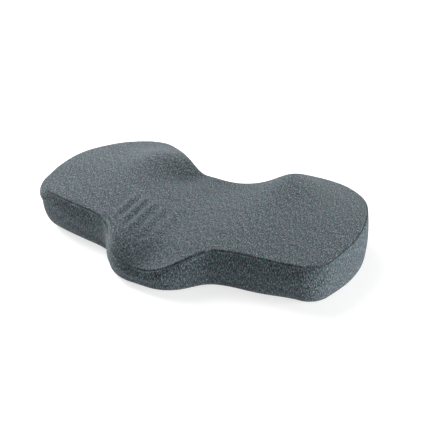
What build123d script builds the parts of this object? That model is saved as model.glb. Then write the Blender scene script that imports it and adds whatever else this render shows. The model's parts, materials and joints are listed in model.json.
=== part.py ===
from build123d import *
import math
import os

os.makedirs("parts", exist_ok=True)

# Contoured seat cushion: a moulded foam block in a thin knitted liner and a sewn, zipped cover.
# Millimetres, +Z up, -Y to the front (the nose between the thighs), +Y to the sitter's back.
# The origin is the middle of the footprint, on the underside.

# ---- plan outline ----
width = 500.0                # side to side, over both lobes
depth = 314.0                # tip of the nose to the rear shoulders
notch_depth = 56.8           # tailbone notch, measured in from the rear shoulders
notch_radius = 200.0         # curve of the tailbone notch
notch_half = 112.0           # half its width, where that curve ends
shoulder_run = 56.0          # straight line of the notch's end, up to the shoulder's corner
side_bulge = 1.3             # how far the side's widest corner stands outside the width
side_widest = 2.0            # where along the depth that corner is
outer_rear_corner = (33.0, 22.0)      # in from the side, in from the rear shoulders
rear_side_corner = (2.0, 90.0)
front_side_corner = (9.0, 94.0)       # in from the side, back from the nose's tip
outer_front_corner = (26.0, 74.0)
lobe_front_inset = 62.0      # lobe's front edge, outer end, in from the side
lobe_front_run = 27.0        # lobe's front edge, inner end, out from the thigh step's corner
lobe_front_fall = 7.5        # how far that end is in front of the outer end
thigh_step_run = 40.0        # thigh step's corner, out from the nose's corner
nose_half = 46.0             # half width of the nose's blunt tip
thigh_step = 51.0            # nose tip back to the inner corner of the thigh step
lobe_step = 66.5             # nose tip back to the lobe's front edge
lower_edge_radius = 18.0     # rounding between the wall and the underside
run_share = 0.49             # how much of a run between two corners one corner's arc may take
end_share = 0.95             # the same for the first and last runs, which have one arc each

# ---- upper surface: one level, with smooth rises and dips added to it ----
seat_level = 63.0            # height of the surface away from every rise and dip
seat_slope = 0.03            # fall of that level per millimetre towards the front
nose_drop = 22.0             # how much lower the tip of the nose is
nose_drop_size = (62.0, 38.0)
valley_dip = 6.0             # hollow along the middle
valley_half = 58.0
shoulder_rise = 17.0         # hip stop: rise at each inner rear shoulder
shoulder_place = (112.0, 108.0)
shoulder_size = (46.0, 56.0)
crown_rise = 8.0             # gentle doming of each lobe
crown_place = (152.0, 22.0)
crown_size = (72.0, 81.0)
grid_step = 10.0             # spacing of the points that carry the surface
surface_margin = 15.0        # how far the surface runs past the outline

# ---- layers, from the outside in ----
cover_thickness = 1.4        # heather knit bonded to a thin backing
slider_room = 1.4            # between the cover's wall and the liner, for the zip slider's back plate
liner_ease = 0.2             # above and below, and between the liner and the foam
liner_thickness = 0.5
liner_seam_height = 24.0

# ---- seams ----
thread = 0.6                 # width and depth of a row of stitches in its groove
bottom_seam_inset = 20.0     # bottom panel's edge, inside the outline and clear of the rounding
side_seam_angle = 33.6       # vertical seams at the ends of the notch curve, degrees from its middle

# ---- zip, which runs round the tailbone notch half way up the wall ----
zip_height = 36.0
slot_half = 5.0              # half the gap between the two rear strips of the wall
chain_angle = 32.0           # half the chain, in degrees of the notch curve
tape_gap = 0.6               # half the slit between the two tapes
tape_width = 12.0
tape_thickness = 0.6
coil_height = 1.8
coil_thickness = 1.4
stop_length = 1.6
stitch_line = 7.5            # stitching rows, above and below the zip's middle
running_gap = 0.3            # slider to everything that it slides past

slider_angle = 30.0          # where the closed slider rests, degrees from the notch's middle
slider_length = 11.0
slider_front_height = 7.6
slider_back_height = 6.0
slider_front_thickness = 1.1
slider_back_thickness = 0.7
post_length = 3.0
bridge_length = 9.6
bridge_width = 1.8
bridge_bar = 1.0
bridge_opening = 2.1

pin_radius = 0.6             # cross bar of the pull tab, under the slider's bridge
pull_gap = 0.4               # cross bar to slider, and side rails to bridge
pull_eye = 5.6               # cross bar to the solid part of the tab
pull_length = 24.0
pull_height = 6.4
pull_thickness = 1.2
pull_lift = 5.0              # the tab rests this many degrees off the wall

label_length = 20.0
label_height = 14.0
label_thickness = 0.4

half_width = width / 2
front_y = -depth / 2
rear_y = depth / 2
notch_centre_y = rear_y - notch_depth + notch_radius
notch_end_angle = math.asin(notch_half / notch_radius)
slider_turn = math.radians(slider_angle)


def tangent_radii(points):
    """Radii of the arcs that round a row of corners, each as large as its two runs allow."""
    radii = []
    last = len(points) - 2
    for i in range(1, last + 1):
        run_in = Vector(points[i]) - Vector(points[i - 1])
        run_out = Vector(points[i + 1]) - Vector(points[i])
        reach_in = run_in.length * (end_share if i == 1 else run_share)
        reach_out = run_out.length * (end_share if i == last else run_share)
        half_turn = math.radians(run_in.get_angle(run_out)) / 2
        radii.append(min(reach_in, reach_out) / math.tan(half_turn))
    return radii


# Right half of the outline: the notch's arc, then corners rounded by tangent arcs, from the inner rear
# shoulder round the side to the lobe's front edge, the thigh step and the nose.
notch_end = Vector(notch_half, notch_centre_y - notch_radius * math.cos(notch_end_angle))
notch_way = Vector(math.cos(notch_end_angle), math.sin(notch_end_angle))
corners = [
    notch_end,
    notch_end + notch_way * shoulder_run,
    Vector(half_width - outer_rear_corner[0], rear_y - outer_rear_corner[1]),
    Vector(half_width - rear_side_corner[0], rear_y - rear_side_corner[1]),
    Vector(half_width + side_bulge, side_widest),
    Vector(half_width - front_side_corner[0], front_y + front_side_corner[1]),
    Vector(half_width - outer_front_corner[0], front_y + outer_front_corner[1]),
    Vector(half_width - lobe_front_inset, front_y + lobe_step),
    Vector(nose_half + thigh_step_run + lobe_front_run, front_y + lobe_step - lobe_front_fall),
    Vector(nose_half + thigh_step_run, front_y + thigh_step),
    Vector(nose_half, front_y),
    Vector(0, front_y),
]

with BuildSketch() as outline:
    with BuildLine():
        RadiusArc((0, rear_y - notch_depth), notch_end, -notch_radius)
        FilletPolyline(*corners, radius=tangent_radii(corners))
        mirror(about=Plane.YZ)
    make_face()


def hump(x, y, place, size):
    """A smooth rise of height 1 at place, fading over size in x and y, on both sides of the middle."""
    return math.exp(-(((abs(x) - place[0]) / size[0]) ** 2) - ((y - place[1]) / size[1]) ** 2)


def seat_height(x, y):
    """Height of the cushion's upper surface above the underside."""
    level = seat_level + seat_slope * y
    level -= nose_drop * hump(x, y, (0, front_y), nose_drop_size)
    level -= valley_dip * math.exp(-((x / valley_half) ** 2))
    level += shoulder_rise * hump(x, y, shoulder_place, shoulder_size)
    level += crown_rise * hump(x, y, crown_place, crown_size)
    return level


# Everything above the seat surface, as one solid: the forms below are cut with it.
reach_x = half_width + surface_margin
reach_y = rear_y + surface_margin
steps_x = 2 * round(reach_x / grid_step)
steps_y = 2 * round(reach_y / grid_step)
surface_points = []
for i in range(steps_x + 1):
    x = reach_x * (2 * i / steps_x - 1)
    row = [reach_y * (2 * j / steps_y - 1) for j in range(steps_y + 1)]
    surface_points.append([Vector(x, y, seat_height(x, y)) for y in row])
seat_surface = Face.make_surface_from_array_of_points(surface_points, tol=0.02, min_deg=3)
tall = 3 * seat_level
above_seat = Solid.extrude(seat_surface, Vector(0, 0, tall))


def lowered(amount):
    """The space above the seat surface, moved down by amount."""
    return above_seat.moved(Location((0, 0, -amount)))


def column(inset, bottom=0.0):
    """The outline moved inwards by inset, standing straight up from bottom."""
    with BuildPart() as piece:
        with BuildSketch(Plane.XY.offset(bottom)):
            add(outline.sketch)
            if inset:
                offset(amount=-inset, kind=Kind.INTERSECTION)
        extrude(amount=tall / 2)
    return piece.part


def form(side, skin):
    """The cushion's shape, smaller by side round its walls and by skin above and below."""
    with BuildPart() as piece:
        add(column(side, skin))
        fillet(piece.faces().sort_by(Axis.Z)[0].edges(), lower_edge_radius - side)
        add(lowered(skin), mode=Mode.SUBTRACT)
    return piece.part


def slab(low, high, inset_out, inset_in):
    """A band just inside the outline, between two heights."""
    with BuildPart() as piece:
        with BuildSketch(Plane.XY.offset(low)):
            add(outline.sketch)
            if inset_out:
                offset(amount=-inset_out, kind=Kind.INTERSECTION)
            with BuildSketch(mode=Mode.PRIVATE) as inner:
                add(outline.sketch)
                offset(amount=-inset_in, kind=Kind.INTERSECTION)
            add(inner.sketch, mode=Mode.SUBTRACT)
        extrude(amount=high - low)
    return piece.part


# ---- forms that the layers are cut from ----
liner_side = cover_thickness + slider_room
liner_skin = cover_thickness + liner_ease
foam_side = liner_side + liner_thickness + liner_ease
foam_skin = liner_skin + liner_thickness + liner_ease

outer_form = form(0, 0)
stitch_form = form(thread, thread)
cover_inside = form(cover_thickness, cover_thickness)

# ---- foam core: one block of moulded slow-recovery foam ----
with BuildPart() as foam_core:
    add(form(foam_side, foam_skin))
foam_core.part.label = "foam_core"
export_step(foam_core.part, "parts/foam_core.step")

# ---- liner: a thin knitted bag, upper and lower pieces sewn together round the wall ----
with BuildPart() as liner_shell:
    add(form(liner_side, liner_skin))
    add(form(liner_side + liner_thickness, liner_skin + liner_thickness), mode=Mode.SUBTRACT)

liner_stitch_low = liner_seam_height - thread / 2
liner_stitch_depth = liner_side + liner_thickness / 2
with BuildPart() as liner_seam_thread:
    add(slab(liner_stitch_low, liner_stitch_low + thread, liner_side, liner_stitch_depth))
liner_seam_thread.part.label = "liner_seam_thread"
export_step(liner_seam_thread.part, "parts/liner_seam_thread.step")

for name, keep in (("liner_upper", Keep.TOP), ("liner_lower", Keep.BOTTOM)):
    with BuildPart() as liner:
        add(liner_shell.part)
        add(liner_seam_thread.part, mode=Mode.SUBTRACT)
        split(bisect_by=Plane.XY.offset(liner_seam_height), keep=keep)
    liner.part.label = name
    export_step(liner.part, f"parts/{name}.step")

# ---- cover: five panels of heather knit, cut from one shell and sewn along their edges ----
with BuildPart() as top_seam_thread:
    add(column(0))
    add(column(thread), mode=Mode.SUBTRACT)
    add(lowered(cover_thickness - thread / 2), mode=Mode.SUBTRACT)
    add(lowered(cover_thickness + thread / 2), mode=Mode.INTERSECT)
top_seam_thread.part.label = "top_seam_thread"
export_step(top_seam_thread.part, "parts/top_seam_thread.step")

stitch_lift = 0.2            # the lower stitches lie in a groove, this far off the ground
with BuildPart() as bottom_seam_thread:
    add(slab(stitch_lift, stitch_lift + thread, bottom_seam_inset, bottom_seam_inset + thread))
bottom_seam_thread.part.label = "bottom_seam_thread"
export_step(bottom_seam_thread.part, "parts/bottom_seam_thread.step")

with BuildPart() as cover_top_panel:
    add(outer_form)
    add(lowered(cover_thickness), mode=Mode.INTERSECT)
    add(top_seam_thread.part, mode=Mode.SUBTRACT)
cover_top_panel.part.label = "cover_top_panel"
export_step(cover_top_panel.part, "parts/cover_top_panel.step")

with BuildPart() as cover_bottom_panel:
    with BuildSketch():
        add(outline.sketch)
        offset(amount=-bottom_seam_inset, kind=Kind.INTERSECTION)
    extrude(amount=cover_thickness)
    add(bottom_seam_thread.part, mode=Mode.SUBTRACT)
cover_bottom_panel.part.label = "cover_bottom_panel"
export_step(cover_bottom_panel.part, "parts/cover_bottom_panel.step")

with BuildPart() as boxing:
    add(outer_form)
    add(cover_inside, mode=Mode.SUBTRACT)
    add(lowered(cover_thickness), mode=Mode.SUBTRACT)
    with BuildSketch():
        add(outline.sketch)
        offset(amount=-bottom_seam_inset, kind=Kind.INTERSECTION)
    extrude(amount=cover_thickness, mode=Mode.SUBTRACT)
    add(top_seam_thread.part, mode=Mode.SUBTRACT)
    add(bottom_seam_thread.part, mode=Mode.SUBTRACT)

# The wall's two vertical seams stand at the ends of the notch curve.
side_seam_x = notch_radius * math.sin(math.radians(side_seam_angle))
rear_zone_y = rear_y - notch_depth - 2 * lower_edge_radius
for name, x in (("left_seam_thread", -side_seam_x), ("right_seam_thread", side_seam_x)):
    with BuildPart() as seam_thread:
        add(boxing.part)
        add(stitch_form, mode=Mode.SUBTRACT)
        with BuildSketch(Plane.XY):
            with Locations((x, rear_y)):
                Rectangle(thread, 2 * (rear_y - rear_zone_y))
        extrude(amount=tall, mode=Mode.INTERSECT)
    seam_thread.part.label = name
    export_step(seam_thread.part, f"parts/{name}.step")
    with BuildPart() as boxing_cut:
        add(boxing.part)
        add(seam_thread.part, mode=Mode.SUBTRACT)
    boxing = boxing_cut

with BuildPart() as cover_front_boxing:
    add(boxing.part)
    with BuildSketch():
        with Locations((0, rear_y)):
            Rectangle(2 * side_seam_x, 2 * (rear_y - rear_zone_y))
    extrude(amount=tall, mode=Mode.SUBTRACT)
cover_front_boxing.part.label = "cover_front_boxing"
export_step(cover_front_boxing.part, "parts/cover_front_boxing.step")


# ---- zip: everything in it turns about the middle of the notch curve ----
zip_axis = Axis((0, notch_centre_y, zip_height), (0, 0, 1))


def notch_plane(angle):
    """Upright plane through the notch curve's axis: x is the radius, y the height above the zip."""
    turn = math.radians(angle)
    return Plane(
        origin=(0, notch_centre_y, zip_height),
        x_dir=(math.sin(turn), -math.cos(turn), 0),
        z_dir=(-math.cos(turn), -math.sin(turn), 0),
    )


def curved_bar(radius, thickness, low, high, start, end):
    """A bar that follows the notch: its outer face's radius, its thickness, heights and end angles."""
    with BuildPart() as bar:
        with BuildSketch(notch_plane(start)):
            with Locations((radius + thickness / 2, (low + high) / 2)):
                Rectangle(thickness, high - low)
        revolve(axis=zip_axis, revolution_arc=end - start)
    return bar.part


tape_radius = notch_radius + cover_thickness - tape_thickness
coil_radius = tape_radius - coil_thickness
tape_end = math.degrees(math.asin((side_seam_x - thread) / (notch_radius + cover_thickness)))
tape_edge = tape_gap + tape_width
coil_edge = tape_gap + coil_height
stop_turn = math.degrees(stop_length / notch_radius)

zip_tapes = []
for name, side in (("zipper_upper_tape", 1), ("zipper_lower_tape", -1)):
    low, high = sorted((side * tape_gap, side * tape_edge))
    with BuildPart() as tape:
        add(curved_bar(tape_radius, tape_thickness, low, high, -tape_end, tape_end))
    tape.part.label = name
    export_step(tape.part, f"parts/{name}.step")
    zip_tapes.append(tape.part)

for name, side in (("zipper_upper_coil", 1), ("zipper_lower_coil", -1)):
    low, high = sorted((side * tape_gap, side * coil_edge))
    with BuildPart() as coil:
        add(curved_bar(coil_radius, coil_thickness, low, high, -chain_angle, chain_angle))
    coil.part.label = name
    export_step(coil.part, f"parts/{name}.step")

chain_end = chain_angle + stop_turn
with BuildPart() as zipper_top_stops:
    add(curved_bar(coil_radius, coil_thickness, tape_gap, coil_edge, chain_angle, chain_end))
    add(curved_bar(coil_radius, coil_thickness, -coil_edge, -tape_gap, chain_angle, chain_end))
zipper_top_stops.part.label = "zipper_top_stops"
export_step(zipper_top_stops.part, "parts/zipper_top_stops.step")

with BuildPart() as zipper_bottom_stop:
    add(curved_bar(coil_radius, coil_thickness, -coil_edge, coil_edge, -chain_end, -chain_angle))
zipper_bottom_stop.part.label = "zipper_bottom_stop"
export_step(zipper_bottom_stop.part, "parts/zipper_bottom_stop.step")

stitch_half = thread / 2
stitch_depth = cover_thickness - tape_thickness
with BuildPart() as zipper_stitching:
    for row in (-stitch_line, stitch_line):
        add(curved_bar(notch_radius, stitch_depth, row - stitch_half, row + stitch_half, -tape_end, tape_end))
zipper_stitching.part.label = "zipper_stitching"
export_step(zipper_stitching.part, "parts/zipper_stitching.step")

# The wall behind, in two strips with the zip between them.
for name, side in (("cover_rear_upper_boxing", 1), ("cover_rear_lower_boxing", -1)):
    with BuildPart() as strip:
        add(boxing.part)
        with BuildSketch():
            with Locations((0, rear_y)):
                Rectangle(2 * side_seam_x, 2 * (rear_y - rear_zone_y))
        extrude(amount=tall, mode=Mode.INTERSECT)
        with BuildSketch(Plane.XY.offset(zip_height + side * slot_half)):
            Rectangle(width, 2 * depth)
        extrude(amount=-side * tall, mode=Mode.SUBTRACT)
        add(zip_tapes, mode=Mode.SUBTRACT)
        add(zipper_stitching.part, mode=Mode.SUBTRACT)
    strip.part.label = name
    export_step(strip.part, f"parts/{name}.step")

# ---- slider: front and back plates on a thin post between the tapes, with a bridge for the tab ----
front_radius = coil_radius - running_gap - slider_front_thickness
back_radius = notch_radius + cover_thickness + running_gap
plate_turn = math.degrees(slider_length / 2 / notch_radius)
post_turn = math.degrees(post_length / 2 / notch_radius)
post_half = tape_gap - running_gap


def slider_plane(lift, radius=front_radius):
    """Upright plane on the slider: x runs along the tab, y up, z out of the cushion."""
    turn = math.radians(slider_angle - lift)
    seat = Vector(
        radius * math.sin(slider_turn),
        notch_centre_y - radius * math.cos(slider_turn),
        zip_height,
    )
    return Plane(
        origin=seat,
        x_dir=(-math.cos(turn), -math.sin(turn), 0),
        z_dir=(-math.sin(turn), math.cos(turn), 0),
    )


def across(plane):
    """The plane that lies level through another's origin, with the same x."""
    return Plane(origin=plane.origin, x_dir=plane.x_dir, z_dir=plane.y_dir)


slider_start = slider_angle - plate_turn
slider_end = slider_angle + plate_turn
bridge_rise = bridge_opening + bridge_bar
with BuildPart() as zipper_slider:
    add(curved_bar(front_radius, slider_front_thickness,
                   -slider_front_height / 2, slider_front_height / 2, slider_start, slider_end))
    add(curved_bar(back_radius, slider_back_thickness,
                   -slider_back_height / 2, slider_back_height / 2, slider_start, slider_end))
    add(curved_bar(front_radius, back_radius + slider_back_thickness - front_radius,
                   -post_half, post_half, slider_angle - post_turn, slider_angle + post_turn))
    with BuildSketch(across(slider_plane(0))):
        with Locations((0, -bridge_rise / 2 + slider_front_thickness / 4)):
            RectangleRounded(bridge_length, bridge_rise + slider_front_thickness / 2, bridge_bar / 2)
        with Locations((0, -bridge_opening / 2)):
            Rectangle(bridge_length - 2 * bridge_bar, bridge_opening, mode=Mode.SUBTRACT)
    extrude(amount=bridge_width / 2, both=True)
zipper_slider.part.label = "zipper_slider"
export_step(zipper_slider.part, "parts/zipper_slider.step")

# ---- pull tab: a flat plate with an eye whose cross bar turns under the bridge ----
pin_radius_out = front_radius - pull_gap - pin_radius
rail_inner = bridge_width / 2 + pull_gap
eye_corner = 0.6
with BuildPart() as zipper_pull_tab:
    with BuildSketch(slider_plane(pull_lift, pin_radius_out)):
        with Locations((pull_length / 2, 0)):
            RectangleRounded(pull_length, pull_height, pull_height / 3)
        with Locations((pull_eye / 2, 0)):
            RectangleRounded(pull_eye, 2 * rail_inner, eye_corner, mode=Mode.SUBTRACT)
    extrude(amount=pull_thickness / 2, both=True)
    with BuildSketch(Plane.XY.offset(zip_height)):
        with Locations((slider_plane(0, pin_radius_out).origin.X, slider_plane(0, pin_radius_out).origin.Y)):
            Circle(pin_radius)
    extrude(amount=pull_height / 2, both=True)
zipper_pull_tab.part.label = "zipper_pull_tab"
export_step(zipper_pull_tab.part, "parts/zipper_pull_tab.step")

# ---- care label: a blank satin tag sewn into the left vertical seam, flat on the wall ----
with BuildPart() as care_label:
    with BuildSketch(Plane.XY.offset(zip_height - label_height / 2)):
        add(outline.sketch)
        offset(amount=label_thickness, kind=Kind.INTERSECTION)
        add(outline.sketch, mode=Mode.SUBTRACT)
        with Locations((-side_seam_x - label_length / 2, rear_y)):
            Rectangle(label_length, depth / 2, mode=Mode.INTERSECT)
    extrude(amount=label_height)
care_label.part.label = "care_label"
export_step(care_label.part, "parts/care_label.step")

print("slider turns about (0, %.3f)" % notch_centre_y)
pin = slider_plane(0, pin_radius_out).origin
print("pull tab turns about (%.3f, %.3f)" % (pin.X, pin.Y))
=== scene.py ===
import json
import math

import bmesh
import bpy
import numpy as np
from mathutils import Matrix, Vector


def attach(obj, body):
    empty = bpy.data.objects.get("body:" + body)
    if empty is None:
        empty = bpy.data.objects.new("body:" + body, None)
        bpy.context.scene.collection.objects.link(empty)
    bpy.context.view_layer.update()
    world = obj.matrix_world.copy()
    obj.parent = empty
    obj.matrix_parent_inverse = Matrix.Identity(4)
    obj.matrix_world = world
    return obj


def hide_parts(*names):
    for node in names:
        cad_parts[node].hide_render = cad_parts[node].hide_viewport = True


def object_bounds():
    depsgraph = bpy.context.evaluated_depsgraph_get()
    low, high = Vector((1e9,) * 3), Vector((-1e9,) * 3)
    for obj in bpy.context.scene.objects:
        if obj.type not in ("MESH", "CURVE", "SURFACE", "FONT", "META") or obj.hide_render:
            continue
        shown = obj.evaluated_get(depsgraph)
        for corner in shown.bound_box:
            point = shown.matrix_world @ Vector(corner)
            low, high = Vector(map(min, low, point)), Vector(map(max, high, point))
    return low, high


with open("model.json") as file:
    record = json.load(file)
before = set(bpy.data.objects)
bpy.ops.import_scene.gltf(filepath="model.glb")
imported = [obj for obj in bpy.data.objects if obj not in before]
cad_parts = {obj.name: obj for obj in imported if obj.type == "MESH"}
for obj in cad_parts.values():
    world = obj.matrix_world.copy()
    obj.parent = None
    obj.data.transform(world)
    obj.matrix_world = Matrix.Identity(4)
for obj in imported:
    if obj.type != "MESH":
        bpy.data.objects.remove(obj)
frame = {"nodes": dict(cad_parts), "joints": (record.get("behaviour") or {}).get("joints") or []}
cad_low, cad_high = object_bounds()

# ---------------------------------------------------------------------------------------------
# Foam core: one block of slow-recovery polyurethane foam, moulded to the whole contour, pale cream,
# with fine open cells under a thin skin. The liner and the cover follow its form, so that form is
# worked out here: a closed skin of rings that run from the middle of the underside to the seat's.
# ---------------------------------------------------------------------------------------------
MM = 0.001
nodes = frame["nodes"]
joints = {joint["name"]: joint for joint in frame["joints"]}

half_width = cad_high[0]
front_y = cad_low[1]
rear_y = cad_high[1]
notch_middle = np.array(joints["zip_travel"]["pos_m"][:2])
NOTCH_RADIUS = 200.0 * MM
NOTCH_HALF = 112.0 * MM
SHOULDER_RUN = 56.0 * MM
SIDE_SEAM_TURN = math.radians(33.6)

notch_end_turn = math.asin(NOTCH_HALF / NOTCH_RADIUS)
notch_end_way = np.array([math.cos(notch_end_turn), math.sin(notch_end_turn)])
notch_end = notch_middle + NOTCH_RADIUS * np.array([math.sin(notch_end_turn), -math.cos(notch_end_turn)])
right_corners = np.array([
    notch_end,
    notch_end + notch_end_way * SHOULDER_RUN,       # inner rear shoulder
    (half_width - 33 * MM, rear_y - 22 * MM),       # outer rear corner
    (half_width - 2 * MM, rear_y - 90 * MM),        # side, towards the rear
    (half_width + 1.3 * MM, 2 * MM),                # side, at the widest
    (half_width - 9 * MM, front_y + 94 * MM),       # side, towards the front
    (half_width - 26 * MM, front_y + 74 * MM),      # outer front corner
    (half_width - 62 * MM, front_y + 66.5 * MM),    # lobe's front edge
    (113 * MM, front_y + 59 * MM),                  # lobe's front edge, inner end
    (86 * MM, front_y + 51 * MM),                   # thigh step
    (46 * MM, front_y),                             # corner of the nose
    (0, front_y),
])


def rounded(corners, reach_share=0.49, end_share=0.95, per_corner=60):
    """A run of corners as tangent arcs. Each arc reaches the same share of its shorter run from its
    corner c, and is the conic ((1-t)^2 a + 2t(1-t) w c + t^2 b) / ((1-t)^2 + 2t(1-t) w + t^2), with a
    and b its ends and w the cosine of half the turn, which makes it a part of a circle."""
    runs = np.diff(corners, axis=0)
    lengths = np.linalg.norm(runs, axis=1)
    ways = runs / lengths[:, None]
    shares = np.full(len(runs), reach_share)
    shares_in, shares_out = shares[:-1].copy(), shares[1:].copy()
    shares_in[0] = shares_out[-1] = end_share
    reach = np.minimum(lengths[:-1] * shares_in, lengths[1:] * shares_out)[:, None]
    corner = corners[1:-1]
    start, end = corner - ways[:-1] * reach, corner + ways[1:] * reach
    weight = np.sqrt((1 + (ways[:-1] * ways[1:]).sum(1)) / 2)[:, None, None]
    t = np.linspace(0, 1, per_corner)[None, :, None]
    middle = 2 * t * (1 - t) * weight
    above = (1 - t) ** 2 * start[:, None] + middle * corner[:, None] + t ** 2 * end[:, None]
    arcs = above / ((1 - t) ** 2 + middle + t ** 2)
    return np.vstack([corners[:1], arcs.reshape(-1, 2), corners[-1:]])


# The outline, anticlockwise seen from above and starting at the right-hand end, in even steps: to the
# right side seam, round the notch to the left side seam, to the left-hand end, and along the front.
notch_turns = np.linspace(0, notch_end_turn, 200)[:-1]
notch_arc = np.stack([np.sin(notch_turns), -np.cos(notch_turns)], 1) * NOTCH_RADIUS + notch_middle
right_half = np.vstack([notch_arc, rounded(right_corners)])
loop = np.vstack([right_half[::-1], (right_half * [-1, 1])[1:-1]])
loop = np.roll(loop, -int(loop[:, 0].argmax()), 0)
loop = np.vstack([loop, loop[:1]])
along_loop = np.concatenate([[0], np.cumsum(np.linalg.norm(np.diff(loop, axis=0), axis=1))])
side_seam = notch_middle + NOTCH_RADIUS * np.array([math.sin(SIDE_SEAM_TURN), -math.cos(SIDE_SEAM_TURN)])
perimeter = along_loop[-1]
right_seam_along = along_loop[np.linalg.norm(loop - side_seam, axis=1).argmin()]
left_seam_along = along_loop[np.linalg.norm(loop - side_seam * [-1, 1], axis=1).argmin()]
left_end_along = along_loop[loop[:, 0].argmin()]

RIGHT_SEAM, LEFT_SEAM, LEFT_END, AROUND = 122, 238, 360, 720
along = np.interp(
    np.arange(AROUND + 1), [0, RIGHT_SEAM, LEFT_SEAM, LEFT_END, AROUND],
    [0, right_seam_along, left_seam_along, left_end_along, perimeter])
outline = np.stack([np.interp(along, along_loop, loop[:, k]) for k in (0, 1)], 1)
across_start = outline[1:2] - outline[-2:-1]
tangent = np.vstack([across_start, outline[2:] - outline[:-2], across_start])
tangent /= np.linalg.norm(tangent, axis=1)[:, None]
outward = np.stack([tangent[:, 1], -tangent[:, 0]], 1)


def hump(x, y, place, size):
    """exp(-((x - px) / sx)^2 - ((y - py) / sy)^2): a smooth rise of height 1 at place."""
    return np.exp(-(((x - place[0]) / size[0]) ** 2) - ((y - place[1]) / size[1]) ** 2)


SEAT_LEVEL, SEAT_SLOPE = 63.0 * MM, 0.03
VALLEY_DIP, VALLEY_HALF = 6.0 * MM, 58.0 * MM


def seat_height(x, y):
    """The seat surface in metres: a level that falls to the front, less the nose's drop and the hollow
    along the middle, plus the hip stops behind, the lobes' doming, and the foam's own unevenness."""
    level = SEAT_LEVEL + SEAT_SLOPE * y
    # the fall to the tip of the nose, and the hollow along the middle
    level -= 22.0 * MM * hump(x, y, (0, front_y), (0.062, 0.038))
    level -= VALLEY_DIP * np.exp(-((x / VALLEY_HALF) ** 2))
    # the hip stops at the inner rear shoulders, and the doming of the two lobes
    level += 17.0 * MM * hump(np.abs(x), y, (0.112, 0.108), (0.046, 0.056))
    level += 8.0 * MM * hump(np.abs(x), y, (0.152, 0.022), (0.072, 0.081))
    # the left hip stop is lower at the rear, and the right one fuller towards the notch
    level -= 6.0 * MM * hump(x, y, (-0.118, 0.128), (0.045, 0.032))
    level += 3.0 * MM * hump(x, y, (0.095, 0.118), (0.022, 0.030))
    # the left-hand end is raised, and a hollow lies between the notch and the left hip stop
    level += 9.5 * MM * hump(x, y, (-0.250, 0.005), (0.062, 0.105))
    level -= 8.5 * MM * hump(x, y, (-0.055, 0.084), (0.024, 0.044))
    # the left lobe is fuller in front of its hip stop, and the right lobe at the rear
    level += 2.5 * MM * hump(x, y, (-0.128, 0.060), (0.035, 0.045))
    level += 4.5 * MM * hump(x, y, (0.200, 0.095), (0.095, 0.065))
    # the left lobe is fuller at its front corner
    level += 3.0 * MM * hump(x, y, (-0.190, -0.085), (0.045, 0.035))
    return level


# The lower edge is rounded over a width and a height that change along the wall: the left lobe's
# front corner is tucked in most, and the right-hand end least.
tucked = hump(outline[:, 0], outline[:, 1], (-0.230, -0.048), (0.094, 0.076))
tucked_right = hump(outline[:, 0], outline[:, 1], (0.200, -0.088), (0.036, 0.030))
full = hump(outline[:, 0], outline[:, 1], (0.250, 0.020), (0.050, 0.060))
LOWER_ROUNDING = 13.0 * MM
lower_width = LOWER_ROUNDING + 12.0 * MM * tucked + 9.0 * MM * tucked_right - 7.0 * MM * full
lower_height = LOWER_ROUNDING + 39.0 * MM * tucked + 10.0 * MM * tucked_right - 7.0 * MM * full
BOTTOM_SEAM_GAP = 2.0 * MM
# The wall bulges between its seams, except round the notch, where the zip's woven tapes hold it firm,
# and as far past the side seams as the care label lies.
firm = np.clip(1.8 * hump(outline[:, 0], outline[:, 1], (0, 0.110), (0.200, 0.090)), 0, 1)
WALL_BULGE = 3.0 * MM
bulge = WALL_BULGE * (1 - firm)
# The upper edge is rounded too. On the left of the nose the cloth bridges the thigh step, so there the
# rounding is large and the seam is drawn down the wall.
bridged = hump(outline[:, 0], outline[:, 1], (-0.072, -0.122), (0.030, 0.034))
upper_width = 6.5 * MM + 8.0 * MM * bridged
upper_height = 4.5 * MM + 9.0 * MM * bridged
seam_turn = math.radians(45) - math.radians(38) * bridged
SPINE_SHARE = 0.6
pair = AROUND - np.arange(AROUND + 1)
spine = np.stack([SPINE_SHARE * (outline[:, 0] + outline[pair, 0]) / 2, np.zeros(AROUND + 1)], 1)


# The sewn cover draws the foam in along its edges and lets it crown between them. The moves are first
# zero, and come from a cloth simulation of the whole skin below.
SIM_COLUMNS = np.arange(0, AROUND + 1, 6)
sim_rows = np.concatenate([
    np.linspace(-1, 0, 6)[:-1], np.linspace(0, 3, 10)[:-1], np.linspace(3, 5, 7)[:-1], np.linspace(5, 6, 17)])
moves = np.zeros((len(sim_rows), len(SIM_COLUMNS), 3))


def drawn_in(v, columns):
    """The simulated move at each v and column: the coarse grid's moves, blended linearly both ways, and
    less where the zip holds the wall firm, up to half way from the seat's edge."""
    row = np.interp(v, sim_rows, np.arange(len(sim_rows)))
    column = (np.arange(AROUND + 1)[columns] / SIM_COLUMNS[1])[None] * np.ones_like(v)
    r = np.minimum(row.astype(int), len(sim_rows) - 2)
    c = np.minimum(column.astype(int), len(SIM_COLUMNS) - 2)
    up, on = (row - r)[..., None], (column - c)[..., None]
    first = moves[r, c] * (1 - on) + moves[r, c + 1] * on
    second = moves[r + 1, c] * (1 - on) + moves[r + 1, c + 1] * on
    free = 1 - firm[columns][None] * np.clip(5.5 - v, 0, 1)
    return (first * (1 - up) + second * up) * free[..., None]


def section_turn(v, columns=slice(None)):
    """How far round the upper edge v is: 0 at 3, the seam's own turn at 4, and a right angle at 5."""
    to_seam = seam_turn[columns]
    return to_seam * np.clip(v - 3, 0, 1) + (math.pi / 2 - to_seam) * np.clip(v - 4, 0, 1)


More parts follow.
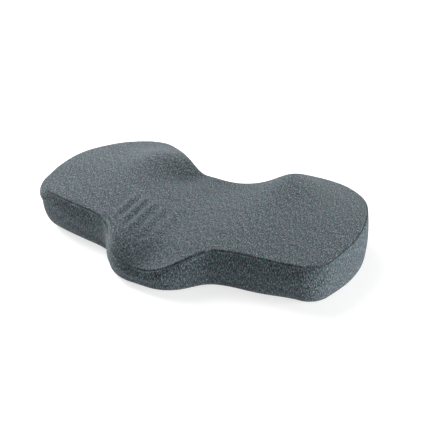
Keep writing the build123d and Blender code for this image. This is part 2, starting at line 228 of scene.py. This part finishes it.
def skin(v, columns=slice(None), side=0.0, deep=0.0):
    """Points of the cushion's skin, side further in at the walls and deep further in above and below.
    v counts up the section: -1 to 0 from the spine of the underside to the bottom seam, 1 to the lower
    rounding, 2 to its top, 3 to the upper rounding, 4 to the top seam, 5 to the seat, 6 to its spine.
    Both roundings are quarters of an ellipse, and the wall between them bulges by a sine."""
    edge, normal, middle = outline[columns], outward[columns], spine[columns]
    wide, tall = lower_width[columns], lower_height[columns]
    flat = np.clip(v, 0, 1)
    low_turn = np.clip(v - 1, 0, 1) * math.pi / 2
    up = np.clip(v - 2, 0, 1)
    over, crown = upper_width[columns], upper_height[columns]
    top_turn = section_turn(v, columns)
    inset = side + BOTTOM_SEAM_GAP * (1 - flat) + wide * (1 - np.sin(low_turn))
    inset = inset - bulge[columns] * np.sin(math.pi * up) + over * (1 - np.cos(top_turn))
    plan = edge[None] - normal[None] * inset[..., None]
    inward = np.clip(np.maximum(-v, v - 5), 0, 1)
    plan = plan + (middle[None] - plan) * inward[..., None]
    upper = seat_height(plan[..., 0], plan[..., 1]) - crown * (1 - np.sin(top_turn))
    wall_top = seat_height(edge[:, 0], edge[:, 1]) - crown
    lower = tall * (1 - np.cos(low_turn))
    height = np.where(v > 3, upper, lower + (wall_top - tall) * up)
    thickness = np.maximum(upper, wall_top)
    points = np.dstack([plan, deep + height * (1 - 2 * deep / thickness)])
    return points + drawn_in(v * np.ones((1, len(edge))), columns)


def steps(*spans):
    """Rows of the section, as one column: each span is (first, last, how many steps)."""
    rows = [np.linspace(first, last, count, endpoint=False) for first, last, count in spans]
    return np.append(np.concatenate(rows), spans[-1][1])[:, None]


def surface(name, points, material, cloth=None):
    """A smooth mesh object from a grid of points, facing outwards where rows run up the outside and
    columns run anticlockwise. cloth holds each point's place on the flat cloth, in metres. Points that
    meet are merged, which closes the ring and folds the innermost row flat along the spine."""
    rows, columns = points.shape[:2]
    index = np.arange(rows * columns).reshape(rows, columns)
    quads = np.stack([index[:-1, :-1], index[:-1, 1:], index[1:, 1:], index[1:, :-1]], -1).reshape(-1, 4)
    mesh = bpy.data.meshes.new(name)
    mesh.from_pydata(points.reshape(-1, 3).tolist(), [], quads.tolist())
    if cloth is not None:
        layer = mesh.uv_layers.new(name="cloth")
        layer.data.foreach_set("uv", cloth.reshape(-1, 2)[quads.ravel()].astype(np.float32).ravel())
    merged = bmesh.new()
    merged.from_mesh(mesh)
    bmesh.ops.remove_doubles(merged, verts=merged.verts, dist=0.002 * MM)
    merged.to_mesh(mesh)
    merged.free()
    mesh.polygons.foreach_set("use_smooth", np.ones(len(mesh.polygons), bool))
    mesh.materials.append(material)
    piece = bpy.data.objects.new(name, mesh)
    bpy.context.scene.collection.objects.link(piece)
    return piece


def linear(hex_colour):
    """sRGB hex to linear RGBA: c / 12.92 up to 0.04045, and ((c + 0.055) / 1.055) ^ 2.4 above it."""
    parts = [int(hex_colour[i:i + 2], 16) / 255 for i in (1, 3, 5)]
    return [c / 12.92 if c <= 0.04045 else ((c + 0.055) / 1.055) ** 2.4 for c in parts] + [1.0]


def add_node(tree, kind, links=(), settings=(), **values):
    """Adds a shader node, with its settings, its sockets' values and what is linked into its sockets."""
    made = tree.nodes.new(kind)
    for key, value in dict(settings).items():
        setattr(made, key, value)
    for key, value in values.items():
        made.inputs[key.replace("_", " ")].default_value = value
    for socket, source in dict(links).items():
        tree.links.new(source, made.inputs[socket])
    return made


def finish_material(name, **values):
    """A Principled material with those values on its own sockets: the material, its tree, its shader."""
    material = bpy.data.materials.new(name)
    material.use_nodes = True
    shader = material.node_tree.nodes["Principled BSDF"]
    for key, value in values.items():
        shader.inputs[key.replace("_", " ")].default_value = value
    return material, material.node_tree, shader


def two_tone(name, kind, low, high, relief=None, settings=(), pattern=(), output="Fac", **values):
    """A Principled material whose colour goes from low to high by a pattern of that kind, on the piece's
    own coordinates. Where relief is given, as strength and metres, the surface rises by the pattern."""
    material, tree, shader = finish_material(name, **values)
    place = add_node(tree, "ShaderNodeTexCoord").outputs["Object"]
    drawn = add_node(tree, kind, {"Vector": place}, settings, **dict(pattern)).outputs[output]
    tone = add_node(tree, "ShaderNodeValToRGB", {"Fac": drawn})
    tone.color_ramp.elements[0].color = linear(low)
    tone.color_ramp.elements[1].color = linear(high)
    tree.links.new(tone.outputs["Color"], shader.inputs["Base Color"])
    if relief:
        strength, depth = relief
        raised = add_node(tree, "ShaderNodeBump", {"Height": drawn}, Strength=strength, Distance=depth)
        tree.links.new(raised.outputs["Normal"], shader.inputs["Normal"])
    return material


# Moulded polyurethane: cells 1 mm across, seen as a fine matt grain under the thin skin.
CELL = 1.0 * MM
foam_finish = two_tone(
    "moulded_polyurethane_foam", "ShaderNodeTexVoronoi", "#f0e8cf", "#d3c8a4", relief=(0.5, 0.3 * MM),
    pattern={"Scale": 1 / CELL}, output="Distance", Roughness=0.9)

SIM_FRAMES = 20
SIM_PRESSURE = 4.0
MOST_MOVE = 4.0 * MM


def simulated_moves():
    """Moves of the skin's coarse grid, from a cloth simulation with pressure inside and no gravity. All
    shrink by one share, so that the largest is MOST_MOVE, and none goes up or down where it rests."""
    start = skin(sim_rows[:, None], SIM_COLUMNS)
    shell = surface("cover_in_simulation", start, foam_finish)
    sewn = shell.modifiers.new("sewn_cover", "CLOTH")
    sewn.settings.use_pressure = True
    sewn.settings.uniform_pressure_force = SIM_PRESSURE
    sewn.settings.effector_weights.gravity = 0
    sewn.settings.tension_stiffness = 40
    sewn.settings.compression_stiffness = 10
    sewn.settings.bending_stiffness = 4
    sewn.point_cache.frame_start = 1
    sewn.point_cache.frame_end = SIM_FRAMES
    for frame_number in range(1, SIM_FRAMES + 1):
        bpy.context.scene.frame_set(frame_number)
    settled = shell.evaluated_get(bpy.context.evaluated_depsgraph_get()).to_mesh()
    before = np.zeros(len(shell.data.vertices) * 3, np.float32)
    after = np.zeros(len(settled.vertices) * 3, np.float32)
    shell.data.vertices.foreach_get("co", before)
    settled.vertices.foreach_get("co", after)
    before, after = before.reshape(-1, 3), after.reshape(-1, 3)
    bpy.context.scene.frame_set(1)
    bpy.data.objects.remove(shell)
    apart = np.linalg.norm(start.reshape(-1, 1, 3).astype(np.float32) - before[None], axis=-1)
    found = (after - before)[apart.argmin(1)].reshape(start.shape)
    found[sim_rows < 1.5, :, 2] = 0
    return found * min(1.0, MOST_MOVE / np.linalg.norm(found, axis=-1).max())


moves = simulated_moves()

FOAM_SIDE = 3.5 * MM
FOAM_DEEP = 2.3 * MM
whole = steps((-1, 0, 6), (0, 1, 1), (1, 2, 6), (2, 3, 5), (3, 5, 6), (5, 6, 20))
coarse = np.arange(0, AROUND + 1, 3)
foam = surface("foam_block", skin(whole, coarse, FOAM_SIDE, FOAM_DEEP), foam_finish)
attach(foam, "cushion")
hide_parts("foam_core")

# ---------------------------------------------------------------------------------------------
# Liner: a bag of thin white polyester jersey round the foam, in an upper and a lower piece that are
# overlocked together round the wall. It lets the outer cover slide on and keeps the foam clean.
# ---------------------------------------------------------------------------------------------
LINER_SIDE = 2.8 * MM
LINER_DEEP = 1.6 * MM
LINER_SEAM = 24.0 * MM


def thread_row(name, path, up, material, pitch, length, width):
    """A row of stitches laid along a path: at every pitch, a spindle whose centre line is a straight
    piece of the path, whose width swells as the square root of 4t(1-t), and whose middle rises by half
    its width along up, as a thread does between the holes that it goes through."""
    run = np.concatenate([[0], np.cumsum(np.linalg.norm(np.diff(path, axis=0), axis=1))])
    count = int(run[-1] / pitch)
    start = (np.arange(count) + 0.5) * run[-1] / count - length / 2
    t = np.linspace(0, 1, 6)
    where = start[:, None] + length * t[None]
    centre = np.stack([np.interp(where, run, path[:, k]) for k in range(3)], -1)
    rise = np.stack([np.interp(where, run, up[:, k]) for k in range(3)], -1)
    rise /= np.linalg.norm(rise, axis=-1, keepdims=True)
    way = centre[:, -1:] - centre[:, :1]
    way /= np.linalg.norm(way, axis=-1, keepdims=True)
    across = np.cross(np.broadcast_to(way, rise.shape), rise)
    swell = np.sqrt(4 * t * (1 - t))[None, :, None] * width / 2
    turn = np.linspace(0, 2 * math.pi, 7)[:-1]
    ring = (np.cos(turn)[:, None] * across[:, :, None] + np.sin(turn)[:, None] * rise[:, :, None])
    points = (centre + rise * swell)[:, :, None] + ring * swell[..., None]
    index = np.arange(points[..., 0].size).reshape(points.shape[:3])
    index[:, 0] = index[:, 0, :1]
    index[:, -1] = index[:, -1, :1]
    after = np.roll(index, -1, 2)
    side = np.stack([index[:, 1:-2], index[:, 2:-1], after[:, 2:-1], after[:, 1:-2]], -1).reshape(-1, 4)
    first = np.stack([index[:, 0], index[:, 1], after[:, 1]], -1).reshape(-1, 3)
    last = np.stack([index[:, -2], index[:, -1], after[:, -2]], -1).reshape(-1, 3)
    mesh = bpy.data.meshes.new(name)
    mesh.from_pydata(points.reshape(-1, 3).tolist(), [], side.tolist() + first.tolist() + last.tolist())
    tidy = bmesh.new()
    tidy.from_mesh(mesh)
    loose = [vertex for vertex in tidy.verts if not vertex.link_faces]
    bmesh.ops.delete(tidy, geom=loose, context="VERTS")
    bmesh.ops.recalc_face_normals(tidy, faces=tidy.faces)
    tidy.to_mesh(mesh)
    tidy.free()
    mesh.polygons.foreach_set("use_smooth", np.ones(len(mesh.polygons), bool))
    mesh.materials.append(material)
    row = bpy.data.objects.new(name, mesh)
    bpy.context.scene.collection.objects.link(row)
    return row


# Polyester jersey: loops 0.9 mm apart, seen as a fine matt rib. A wave of scale s repeats every pi/10/s.
RIB = 0.9 * MM
jersey = two_tone(
    "white_polyester_jersey", "ShaderNodeTexWave", "#cfcfcb", "#ededea", relief=(0.4, 0.15 * MM),
    pattern={"Scale": math.pi / 10 / RIB, "Distortion": 2.0}, Roughness=0.88, Sheen_Weight=0.1)

wall_share = (LINER_SEAM - lower_height) / (seat_height(*outline.T) - upper_height - lower_height)
liner_split = 2 + np.clip(wall_share, 0.0, 1.0)[coarse][None]
lower_rows = steps((-1, 0, 6), (0, 1, 1), (1, 2, 6))
above_split = np.linspace(0, 1, 5)[:, None]
lower_wall = 2 + (liner_split - 2) * above_split[1:]
upper_wall = liner_split + (3 - liner_split) * above_split[:-1]
upper_rows = steps((3, 5, 6), (5, 6, 20))
in_columns = np.ones((1, len(coarse)))
liner_lower = surface(
    "liner_lower_bag", skin(np.vstack([lower_rows * in_columns, lower_wall]), coarse, LINER_SIDE, LINER_DEEP),
    jersey)
liner_upper = surface(
    "liner_upper_bag", skin(np.vstack([upper_wall, upper_rows * in_columns]), coarse, LINER_SIDE, LINER_DEEP),
    jersey)
for piece, node, flat, area in ((liner_lower, "liner_lower", (0.55, 0.37), 0.134),
                                (liner_upper, "liner_upper", (0.58, 0.40), 0.161)):
    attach(piece, "cushion")
    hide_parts(node)

# Spun polyester: plies 0.3 mm across, seen as a slight mottling.
PLY = MM / 3
thread_finish = two_tone(
    "white_spun_polyester_thread", "ShaderNodeTexNoise", "#c8c8c4", "#f4f4f0",
    pattern={"Scale": 1 / PLY}, Roughness=0.75)
liner_seam_path = skin(liner_split, coarse, LINER_SIDE, LINER_DEEP)[0]
outward_3d = np.column_stack([outward, np.zeros(AROUND + 1)])
liner_thread = thread_row("liner_overlock_stitches", liner_seam_path, outward_3d[coarse], thread_finish,
                          3.0 * MM, 2.4 * MM, 0.5 * MM)
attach(liner_thread, "cushion")
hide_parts("liner_seam_thread")

# ---------------------------------------------------------------------------------------------
# Cover: five panels of one heather grey weft knit, sewn inside out with plain seams and turned, so
# each seam is a narrow dark valley between two soft edges. The cover is pulled over the foam, so it
# is taut over the lobes and creases a little where the hollow meets the left thigh step.
# ---------------------------------------------------------------------------------------------
COVER_THICKNESS = 1.4 * MM
SEAM_DEPTH = 1.8 * MM
SEAM_HALF = 1.0 * MM
RIDGES = [
    # x, y of its two ends, height and half width, all in millimetres
    (-84, -72, -86, -38, 2.4, 5.0),
    (-66, -80, -68, -40, 2.9, 5.0),
    (-48, -86, -50, -46, 2.8, 5.5),
    (-28, -88, -31, -44, 2.2, 6.5),
    (-8, -92, -10, -32, 1.8, 8.5),
]


def ridged(points):
    """Raises points by each ridge: its height times a Gaussian across it, times a Gaussian of how far
    past its ends a point lies."""
    flat = points[..., :2] / MM
    rise = np.zeros(points.shape[:2])
    for x0, y0, x1, y1, height, half in RIDGES:
        start, run = np.array([x0, y0]), np.array([x1 - x0, y1 - y0])
        length = np.linalg.norm(run)
        offset = flat - start
        on = offset @ run / length
        off = offset @ np.array([-run[1], run[0]]) / length
        past = np.maximum(np.maximum(-on, on - length), 0)
        rise += height * np.exp(-((off / half) ** 2) - (past / (0.35 * length)) ** 2)
    raised = points.copy()
    raised[..., 2] += rise * MM
    return raised


def cover_skin(v, columns=slice(None)):
    """The cover's outer face: the skin with a valley along each seam, Gaussian in the distance from it
    and along the skin's own direction there."""
    v = v * np.ones((1, len(along[columns])))
    points = skin(v, columns)
    edge_radius = (upper_width + upper_height)[columns] / 2
    top_turn = section_turn(v, columns)
    from_top_seam = (top_turn - seam_turn[columns]) * edge_radius
    top_valley = SEAM_DEPTH * np.exp(-((from_top_seam / SEAM_HALF) ** 2)) * (v > 2.9) * (v <= 5)
    bottom_valley = SEAM_DEPTH * np.exp(-(v * BOTTOM_SEAM_GAP / SEAM_HALF) ** 2) * (v > -0.5)
    from_seam = np.minimum(np.abs(along - right_seam_along), np.abs(along - left_seam_along))[columns]
    side_valley = 0.7 * SEAM_DEPTH * np.exp(-(from_seam / (1.4 * SEAM_HALF)) ** 2) * (v > 1) * (v < 4)
    inward = top_valley * np.cos(top_turn) + side_valley
    points[..., :2] -= outward[columns][None] * inward[..., None]
    points[..., 2] += bottom_valley - top_valley * np.sin(top_turn)
    return points


def on_cloth(points, columns=None):
    """Where each point lies on the flat cloth: its plan for the seat and the underside; for a wall of
    those columns, the distance along the outline, on past its end, and the distance up the section."""
    if columns is None:
        return points[..., :2]
    climb = np.linalg.norm(np.diff(points, axis=0), axis=-1)
    climb = np.vstack([np.zeros((1, points.shape[1])), np.cumsum(climb, axis=0)])
    run = along[columns] + perimeter * (columns < columns[0])
    return np.dstack([np.broadcast_to(run[None], climb.shape), climb])


# Heather knit: the yarn is spun from dark slate, teal, lilac and pale grey fibres, which gives the eye a
# matt, speckled grey. The fibres are far too fine to show, so they are drawn as coarse as they need to
# be: a grain 1 mm across, crossed by streaks 1.1 mm across. Loops 1.1 mm apart are a bump alone.
heather, tree, shader = finish_material(
    "heather_grey_weft_knit", Roughness=0.92, Specular_IOR_Level=0.2, Sheen_Weight=0.12, Sheen_Roughness=0.5)
cloth = add_node(tree, "ShaderNodeUVMap", settings={"uv_map": "cloth"}).outputs["UV"]


def flecks(width_mm, stretch, offset, detail):
    """Noise with features of that width across the yarn, stretch times longer along it."""
    laid = add_node(tree, "ShaderNodeMapping", {"Vector": cloth})
    laid.inputs["Scale"].default_value = (1.0, 1.0 / stretch, 1.0)
    laid.inputs["Location"].default_value = (offset, 0.7 * offset, 0)
    laid.inputs["Rotation"].default_value = (0, 0, math.radians(-5.5))
    noise = add_node(tree, "ShaderNodeTexNoise", {"Vector": laid.outputs["Vector"]},
                     Scale=1 / (width_mm * MM), Detail=detail, Roughness=0.65)
    return noise.outputs["Fac"]


grain = flecks(1.0, 3.4, 3.1, 1.2)
streak = flecks(1.1, 8.0, 7.3, 0.5)
# The shares add up to more than one, and a constant brings the middle tone back to a half.
STREAK_SHARE, GRAIN_SHARE = 0.38, 0.98
streaked = add_node(tree, "ShaderNodeMath", {0: streak}, {"operation": "MULTIPLY_ADD"})
streaked.inputs[1].default_value = STREAK_SHARE
streaked.inputs[2].default_value = 0.5 * (1 - STREAK_SHARE - GRAIN_SHARE)
mixed = add_node(tree, "ShaderNodeMath", {0: grain, 2: streaked.outputs["Value"]},
                 {"operation": "MULTIPLY_ADD"})
mixed.inputs[1].default_value = GRAIN_SHARE
fibre = mixed.outputs["Value"]
dye = flecks(1.3, 3.0, 11.7, 1.0)
YARN_GREYS = ((0.30, "#101518"), (0.41, "#2f383b"), (0.50, "#4b5659"), (0.58, "#6a757a"), (0.70, "#a5aeb2"))
FIBRE_DYES = ((0.36, "#9a5c8c"), (0.45, "#84738c"), (0.51, "#747b81"), (0.57, "#4c8a82"), (0.64, "#3f9468"))
yarn_colours = []
for pattern, stops in ((fibre, YARN_GREYS), (dye, FIBRE_DYES)):
    ramp = add_node(tree, "ShaderNodeValToRGB", {"Fac": pattern})
    while len(ramp.color_ramp.elements) < len(stops):
        ramp.color_ramp.elements.new(0.5)
    for element, (position, colour) in zip(ramp.color_ramp.elements, stops):
        element.position = position
        element.color = linear(colour)
    yarn_colours.append(ramp.outputs["Color"])
blend = add_node(tree, "ShaderNodeMix", settings={"data_type": "RGBA", "blend_type": "OVERLAY"})
blend.inputs["Factor"].default_value = 0.7
tree.links.new(yarn_colours[0], blend.inputs[6])
tree.links.new(yarn_colours[1], blend.inputs[7])
tree.links.new(blend.outputs[2], shader.inputs["Base Color"])
LOOP = 1.1 * MM
courses = add_node(tree, "ShaderNodeTexWave", {"Vector": cloth}, {"bands_direction": "Y"},
                   Scale=math.pi / 10 / LOOP, Distortion=1.5, Detail=1.0)
wales = add_node(tree, "ShaderNodeTexWave", {"Vector": cloth}, {"bands_direction": "X"},
                 Scale=math.pi / 10 / LOOP, Distortion=1.0, Detail=1.0)
loops = add_node(tree, "ShaderNodeMath", {0: courses.outputs["Fac"], 1: wales.outputs["Fac"]},
                 {"operation": "ADD"})
relief = add_node(tree, "ShaderNodeMath", {0: fibre, 2: loops.outputs["Value"]},
                  {"operation": "MULTIPLY_ADD"})
FIBRE_OVER_LOOPS = 2.5
relief.inputs[1].default_value = FIBRE_OVER_LOOPS
nap = add_node(tree, "ShaderNodeBump", {"Height": relief.outputs["Value"]}, Strength=0.6)
nap.inputs["Distance"].default_value = 0.35 * MM
tree.links.new(nap.outputs["Normal"], shader.inputs["Normal"])


def cover_panel(name, points, node, wall_columns=None):
    """A cover panel with the cloth's thickness on its inside, riding on the cushion."""
    panel = surface(name, points, heather, on_cloth(points, wall_columns))
    thick = panel.modifiers.new("cloth_thickness", "SOLIDIFY")
    thick.thickness = COVER_THICKNESS
    thick.offset = -1.0
    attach(panel, "cushion")
    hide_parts(node)


NEAR_SEAM = [(4, 4.06, 1), (4.06, 4.16, 1), (4.16, 4.3, 1), (4.3, 4.5, 1), (4.5, 5, 3)]
BELOW_SEAM = [(3, 3.5, 3), (3.5, 3.7, 1), (3.7, 3.84, 1), (3.84, 3.94, 1), (3.94, 4, 1)]
cover_panel(
    "seat_panel", ridged(cover_skin(steps(*NEAR_SEAM, (5, 5.12, 4), (5.12, 6, 34)))), "cover_top_panel")
cover_panel("underside_panel", cover_skin(steps((-1, -0.03, 10), (-0.03, 0, 2))),
            "cover_bottom_panel")
front_columns = np.concatenate([np.arange(LEFT_SEAM, AROUND), np.arange(RIGHT_SEAM + 1)])
wall_rows = steps((0, 1, 2), (1, 2, 9), (2, 3, 10), *BELOW_SEAM)
cover_panel("front_wall", cover_skin(wall_rows, front_columns), "cover_front_boxing",
            wall_columns=front_columns)
rear_columns = np.arange(RIGHT_SEAM, LEFT_SEAM + 1)
ZIP_HEIGHT = joints["zip_travel"]["pos_m"][2]
SLOT_HALF = 5.0 * MM
wall_top = seat_height(*outline.T) - upper_height
above_lower = (ZIP_HEIGHT - SLOT_HALF - lower_height) / (wall_top - lower_height)
above_upper = (ZIP_HEIGHT + SLOT_HALF - lower_height) / (wall_top - lower_height)
share = np.linspace(0, 1, 6)[:, None]
rear_one = np.ones((1, len(rear_columns)))
lower_strip = np.vstack([
    steps((0, 1, 2), (1, 2, 9))[:-1] * rear_one, 2 + above_lower[rear_columns][None] * share])
above_slot = above_upper[rear_columns]
upper_strip = np.vstack([
    (2 + above_slot + (1 - above_slot) * share)[:-1], steps(*BELOW_SEAM) * rear_one])
cover_panel("rear_lower_wall", cover_skin(lower_strip, rear_columns), "cover_rear_lower_boxing",
            wall_columns=rear_columns)
cover_panel("rear_upper_wall", cover_skin(upper_strip, rear_columns), "cover_rear_upper_boxing",
            wall_columns=rear_columns)

# ---------------------------------------------------------------------------------------------
# Cover threads: grey spun polyester, one lock-stitched row in the bottom of each seam's valley. The
# two rows beside the zip lie on the cloth, 7.5 mm above and below its middle.
# ---------------------------------------------------------------------------------------------
grey_thread = two_tone(
    "grey_spun_polyester_thread", "ShaderNodeTexNoise", "#4a5257", "#7e878c",
    pattern={"Scale": 1 / PLY}, Roughness=0.7)

STITCH_PITCH = 4.2 * MM
STITCH_LENGTH = 3.0 * MM
STITCH_WIDTH = 0.6 * MM


def seam_row(name, path, up, node):
    """One row of the cover's stitches, riding on the cushion."""
    row = thread_row(name, path, up, grey_thread, STITCH_PITCH, STITCH_LENGTH, STITCH_WIDTH)
    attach(row, "cushion")
    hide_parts(node)


def one_row(v, columns=slice(None)):
    """Points of the cover at height v of the section."""
    return cover_skin(np.array([[float(v)]]), columns)[0]


slant = np.column_stack([outward, np.ones(AROUND + 1)])
seam_row("top_seam_stitches", one_row(4), slant, "top_seam_thread")
down = np.tile([0.0, 0.0, -1.0], (AROUND + 1, 1))
seam_row("bottom_seam_stitches", one_row(0), down, "bottom_seam_thread")
for name, column, node in (("left_seam_stitches", LEFT_SEAM, "left_seam_thread"),
                           ("right_seam_stitches", RIGHT_SEAM, "right_seam_thread")):
    rise = steps((1.4, 3.7, 40))
    path = cover_skin(rise, [column])[:, 0]
    seam_row(name, path, np.broadcast_to(outward_3d[column], path.shape), node)
STITCH_LINE = 7.5 * MM
sewn_columns = rear_columns[2:-2]
for name, side in (("zip_stitches_lower", -1), ("zip_stitches_upper", 1)):
    height = ZIP_HEIGHT + side * STITCH_LINE
    v = 2 + (height - lower_height) / (wall_top - lower_height)
    path = cover_skin(v[sewn_columns][None], sewn_columns)[0]
    seam_row(name, path, outward_3d[sewn_columns], "zipper_stitching")

# ---------------------------------------------------------------------------------------------
# Zip: a size 5 nylon coil chain. Each half is one nylon wire wound into a coil and sewn along the
# edge of a woven polyester tape. It lies in the slot between the two rear strips of the wall.
# ---------------------------------------------------------------------------------------------
# Woven polyester: a twill whose diagonals are 1 mm apart, matt.
TWILL = 1.0 * MM
tape_weave = two_tone(
    "woven_polyester_zip_tape", "ShaderNodeTexWave", "#23272a", "#3a4044", relief=(0.5, 0.15 * MM),
    settings={"bands_direction": "DIAGONAL"}, pattern={"Scale": math.pi / 10 / TWILL}, Roughness=0.85)


def dress(material, *cad_nodes):
    """Puts a material on CAD nodes that keep their own shape."""
    for node in cad_nodes:
        nodes[node].data.materials.clear()
        nodes[node].data.materials.append(material)


dress(tape_weave, "zipper_upper_tape", "zipper_lower_tape")

# Drawn nylon monofilament: smooth, with a soft gloss and a faint change of tone along the wire.
DRAWN_TONE = MM / 0.9
coil_nylon = two_tone(
    "wound_nylon_monofilament", "ShaderNodeTexNoise", "#2b3033", "#454c50",
    pattern={"Scale": 1 / DRAWN_TONE}, Roughness=0.42)

# The two coils mesh, so each one's inner side lies past the chain's middle, at a height below zero.
COIL_PITCH = 1.5 * MM
WIRE_HALF = 0.28 * MM
COIL_INNER = -0.50 * MM
COIL_OUTER = 2.3 * MM
COIL_RADIUS = 200.1 * MM
COIL_HALF_DEPTH = 0.42 * MM
CHAIN_TURN = math.radians(31.7)
turns = 2 * CHAIN_TURN * COIL_RADIUS / COIL_PITCH
wind = np.linspace(0, turns, int(turns * 14))
bearing = -CHAIN_TURN + 2 * CHAIN_TURN * wind / turns
for name, side, node in (("upper_coil_wire", 1, "zipper_upper_coil"),
                         ("lower_coil_wire", -1, "zipper_lower_coil")):
    turned = 2 * math.pi * (wind + (0.5 if side < 0 else 0.0))
    radius = COIL_RADIUS + COIL_HALF_DEPTH * np.cos(turned)
    middle_height = side * (COIL_OUTER + COIL_INNER) / 2
    half_height = (COIL_OUTER - COIL_INNER) / 2 - WIRE_HALF
    centre = np.stack([
        notch_middle[0] + radius * np.sin(bearing),
        notch_middle[1] - radius * np.cos(bearing),
        ZIP_HEIGHT + middle_height + half_height * np.sin(turned),
    ], 1)
    way = np.gradient(centre, axis=0)
    way /= np.linalg.norm(way, axis=1)[:, None]
    spoke = centre - np.column_stack([
        notch_middle[0] + COIL_RADIUS * np.sin(bearing),
        notch_middle[1] - COIL_RADIUS * np.cos(bearing),
        np.full(len(bearing), ZIP_HEIGHT + middle_height)])
    spoke -= (spoke * way).sum(1)[:, None] * way
    spoke /= np.linalg.norm(spoke, axis=1)[:, None]
    beside = np.cross(way, spoke)
    around = np.linspace(0, 2 * math.pi, 7)[None, :, None]
    tube = centre[:, None] + WIRE_HALF * (np.cos(around) * spoke[:, None] + np.sin(around) * beside[:, None])
    tube = np.concatenate([np.repeat(centre[:1, None], 7, 1), tube, np.repeat(centre[-1:, None], 7, 1)])
    coil = surface(name, tube, coil_nylon)
    tidy = bmesh.new()
    tidy.from_mesh(coil.data)
    bmesh.ops.recalc_face_normals(tidy, faces=tidy.faces)
    tidy.to_mesh(coil.data)
    tidy.free()
    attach(coil, "cushion")
    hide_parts(node)

# Die-cast zinc under thin grey paint: a dull metallic gloss, with grain about 2 mm across.
CAST_GRAIN = MM / 0.45
zinc = two_tone(
    "painted_zinc_casting", "ShaderNodeTexNoise", "#565b5f", "#8b9195", relief=(0.15, 0.05 * MM),
    pattern={"Scale": 1 / CAST_GRAIN, "Detail": 4.0}, Metallic=0.85, Roughness=0.38)
dress(zinc, "zipper_slider", "zipper_pull_tab", "zipper_top_stops", "zipper_bottom_stop")

# ---------------------------------------------------------------------------------------------
# Care label: a blank tag of white polyester satin, caught in the left side seam, flat on the wall.
# ---------------------------------------------------------------------------------------------
# Polyester satin: long floats 0.8 mm apart give it a sheen.
FLOAT_GAP = 0.8 * MM
satin = two_tone(
    "white_polyester_satin", "ShaderNodeTexWave", "#aeaeaa", "#c6c6c2", settings={"bands_direction": "Z"},
    pattern={"Scale": math.pi / 10 / FLOAT_GAP, "Distortion": 0.6}, Roughness=0.35, Sheen_Weight=0.3)
dress(satin, "care_label")

# ---------------------------------------------------------------------------------------------
# Studio: a white sweep, a soft box on each side and one behind and above. Little light comes from the
# front, so the walls that face the viewer stay dark. The view is a short telephoto's.
# ---------------------------------------------------------------------------------------------
VIEW_AZIMUTH = math.radians(30.46)
VIEW_ELEVATION = math.radians(27.62)
VIEW_DISTANCE = 1.426
VIEW_LENS = 79.24
view_aim = Vector((0.0170, 0.0287, 0.035))
view_back = Vector((
    math.sin(VIEW_AZIMUTH) * math.cos(VIEW_ELEVATION),
    -math.cos(VIEW_AZIMUTH) * math.cos(VIEW_ELEVATION),
    math.sin(VIEW_ELEVATION),
))
camera = bpy.data.objects.new("camera", bpy.data.cameras.new("camera"))
camera.data.lens = VIEW_LENS
camera.data.sensor_width = 36.0
camera.location = view_aim + view_back * VIEW_DISTANCE
camera.rotation_euler = view_back.to_track_quat("Z", "Y").to_euler()
bpy.context.scene.collection.objects.link(camera)
bpy.context.scene.camera = camera

for name, place, size, watts in (
    ("left_soft_box", (-1.7, 0.4, 0.8), 1.0, 62),
    ("right_soft_box", (1.8, 0.40, 0.13), 0.8, 72),
    ("rear_soft_box", (-1.35, 0.6, 1.7), 1.6, 54),
):
    light = bpy.data.lights.new(name, "AREA")
    light.size = size
    light.energy = watts
    soft_box = bpy.data.objects.new(name, light)
    soft_box.location = place
    soft_box.rotation_euler = Vector(place).to_track_quat("Z", "Y").to_euler()
    bpy.context.scene.collection.objects.link(soft_box)

world = bpy.data.worlds.new("studio")
world.use_nodes = True
world.node_tree.nodes["Background"].inputs["Color"].default_value = (1, 1, 1, 1)
ROOM_LIGHT = 0.18
world.node_tree.nodes["Background"].inputs["Strength"].default_value = ROOM_LIGHT
bpy.context.scene.world = world
bpy.context.scene.view_settings.view_transform = "Standard"

# The sweep is a level disc whose rim turns up by a quarter of an ellipse.
SWEEP_LEVEL, SWEEP_RIM, SWEEP_RISE = 6.0, 2.5, 2.2
rim_turn = np.linspace(0, math.pi / 2, 13)
sweep_radius = np.concatenate([[0.0, 2.0, 4.0], SWEEP_LEVEL + SWEEP_RIM * np.sin(rim_turn)])
sweep_height = np.concatenate([np.zeros(3), SWEEP_RISE * (1 - np.cos(rim_turn))])
round_sweep = np.linspace(0, 2 * math.pi, 97)
floor_level = cad_low[2] - 0.3 * MM
sweep_points = np.dstack([
    sweep_radius[::-1, None] * np.cos(round_sweep), sweep_radius[::-1, None] * np.sin(round_sweep),
    floor_level + sweep_height[::-1, None] * np.ones(len(round_sweep))])
paper, tree, shader = finish_material("matt_white_paper_sweep", Roughness=0.95, Emission_Strength=0.70)
shader.inputs["Base Color"].default_value = linear("#b4b4b4")
shader.inputs["Emission Color"].default_value = (1, 1, 1, 1)
floor = surface("floor", sweep_points, paper)
